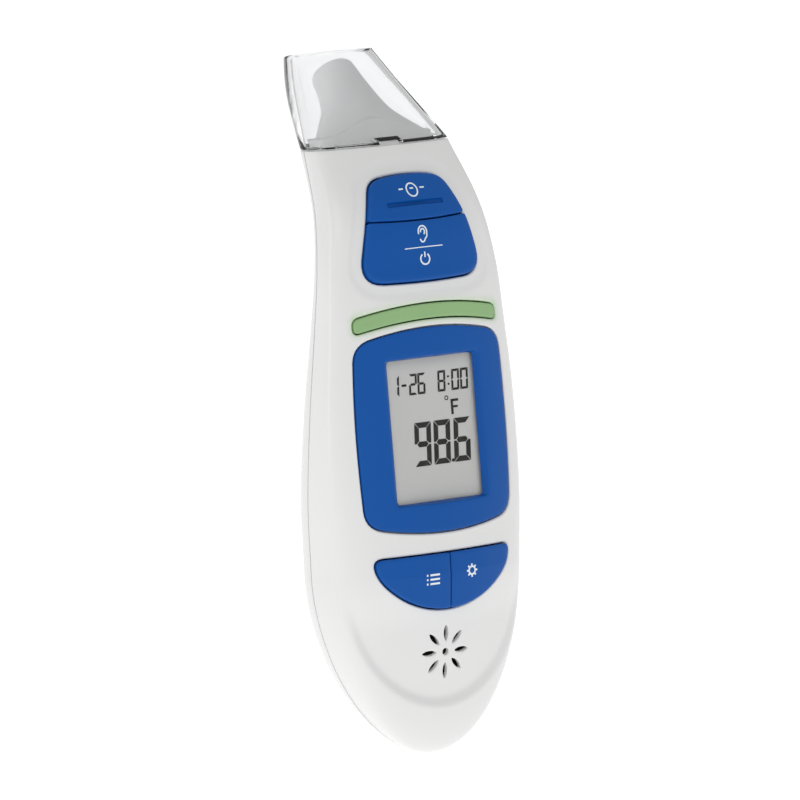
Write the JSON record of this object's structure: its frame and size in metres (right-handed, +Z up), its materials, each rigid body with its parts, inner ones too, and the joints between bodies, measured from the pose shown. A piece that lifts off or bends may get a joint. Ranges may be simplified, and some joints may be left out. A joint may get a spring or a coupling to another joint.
{
  "type": "digital ear thermometer",
  "caption": "Infrared ear and forehead thermometer: curved white case, leaning probe under a clear pull-off cap, display, keys, light bar, speaker holes and rear battery door.",
  "frame": {"origin": "inside the grip behind the display, 54 mm below the cap's seam, where a hand holds the case", "axes": "+Z up along the body to the probe, display faces -Y, probe leans back towards +Y, case symmetric about X = 0"},
  "size_m": [0.05, 0.0561, 0.1487],
  "materials": {
    "white_plastic": "glossy",
    "clear_plastic": "clear, glossy",
    "blue_plastic": "satin",
    "green_light_guide": "satin, translucent",
    "lcd_glass": "satin",
    "soft_rubber": "matt",
    "circuit_board": "solder resist",
    "black_plastic": "satin",
    "led_resin": "clear resin",
    "cable_grey": "satin",
    "switch_body": "satin",
    "cell_jacket": "printed film on steel",
    "plated_steel": "plated",
    "machined_aluminium": "machined",
    "gold_plate": "polished inside",
    "red_lead": "satin",
    "black_lead": "satin"
  },
  "bodies": {
    "case": {"front_shell": "white_plastic", "rear_shell": "white_plastic", "probe_nose": "white_plastic", "light_bar": "green_light_guide", "display_bezel": "blue_plastic", "display_window": "clear_plastic", "lcd_panel": "lcd_glass", "lcd_holder": "white_plastic", "zebra_strip": "soft_rubber", "main_pcb": "circuit_board", "mcu_chip": "black_plastic", "led_left": "led_resin", "led_right": "led_resin", "mem_switch": "switch_body", "set_switch": "switch_body", "button_pcb": "circuit_board", "head_switch": "switch_body", "ear_switch": "switch_body", "board_cable": "cable_grey", "speaker": "black_plastic", "speaker_gasket": "soft_rubber", "probe_window": "clear_plastic", "waveguide_tube": "gold_plate", "sensor_block": "machined_aluminium", "thermopile": "plated_steel", "sensor_leads": "cable_grey", "battery_tray": "white_plastic", "cell_left": "cell_jacket", "cell_right": "cell_jacket", "contact_positive": "plated_steel", "contact_negative": "plated_steel", "contact_link": "plated_steel", "spring_negative": "plated_steel", "spring_link": "plated_steel", "lead_red": "red_lead", "lead_black": "black_lead", "screw_left": "plated_steel", "screw_right": "plated_steel"},
    "head_button": {"head_button": "blue_plastic"},
    "ear_button": {"ear_button": "blue_plastic"},
    "mem_button": {"mem_button": "blue_plastic"},
    "set_button": {"set_button": "blue_plastic"},
    "battery_door": {"battery_door": "white_plastic"},
    "probe_cap": {"probe_cap": "clear_plastic"}
  },
  "joints": [
    {"name": "head_press", "type": "slide", "parent": "case", "child": "head_button", "axis": [0, 0.9289, -0.3703], "range_m": [0, 0.0006], "stiffness_N_per_m": 900},
    {"name": "ear_press", "type": "slide", "parent": "case", "child": "ear_button", "axis": [0, 0.9289, -0.3703], "range_m": [0, 0.0006], "stiffness_N_per_m": 900},
    {"name": "mem_press", "type": "slide", "parent": "case", "child": "mem_button", "axis": [0, 0.9901, -0.1404], "range_m": [0, 0.0006], "stiffness_N_per_m": 900},
    {"name": "set_press", "type": "slide", "parent": "case", "child": "set_button", "axis": [0, 0.9901, -0.1404], "range_m": [0, 0.0006], "stiffness_N_per_m": 900},
    {"name": "door_hinge", "type": "hinge", "parent": "case", "child": "battery_door", "pos_m": [0, 0.0113, -0.0545], "axis": [-1, 0, 0], "range_deg": [0, 70]},
    {"name": "cap_slide", "type": "slide", "parent": "case", "child": "probe_cap", "axis": [0, 0.7254, 0.6884], "range_m": [0, 0.035]}
  ]
}
